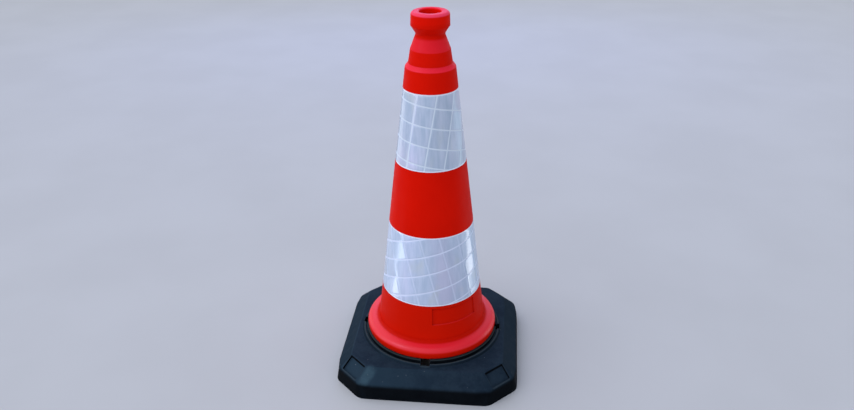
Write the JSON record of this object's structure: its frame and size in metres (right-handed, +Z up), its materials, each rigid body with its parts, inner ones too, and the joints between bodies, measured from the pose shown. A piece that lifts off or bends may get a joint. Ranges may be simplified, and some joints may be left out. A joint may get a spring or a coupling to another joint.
{
  "type": "weighted traffic cone",
  "caption": "Hollow tapered road cone with reflective sleeves and a grip collar, twist-locked by lugs into a heavy square base with cut corners.",
  "frame": {"origin": "on the ground, under the cone's axis", "axes": "+Z up along the cone's axis; the base's straight sides face +X, -X, +Y and -Y; the sunk marking panel starts at the -Y side and runs towards +X"},
  "size_m": [0.3826, 0.3826, 0.7545],
  "materials": {
    "shell": "smooth moulded, orange-red",
    "base": "dull moulded, blue-black, scuffed by the road",
    "backing": "white film",
    "film": "clear prismatic film, welded in a square grid"
  },
  "bodies": {
    "base": {"base_weight": "base"},
    "cone": {"cone_shell": "shell", "upper_sleeve_backing": "backing", "upper_sleeve_film": "film", "lower_sleeve_backing": "backing", "lower_sleeve_film": "film"}
  },
  "joints": [
    {"name": "cone_twist", "type": "hinge", "parent": "base", "child": "cone", "pos_m": [0, 0, 0.0685], "axis": [0, 0, 1], "range_deg": [0, 30]}
  ]
}
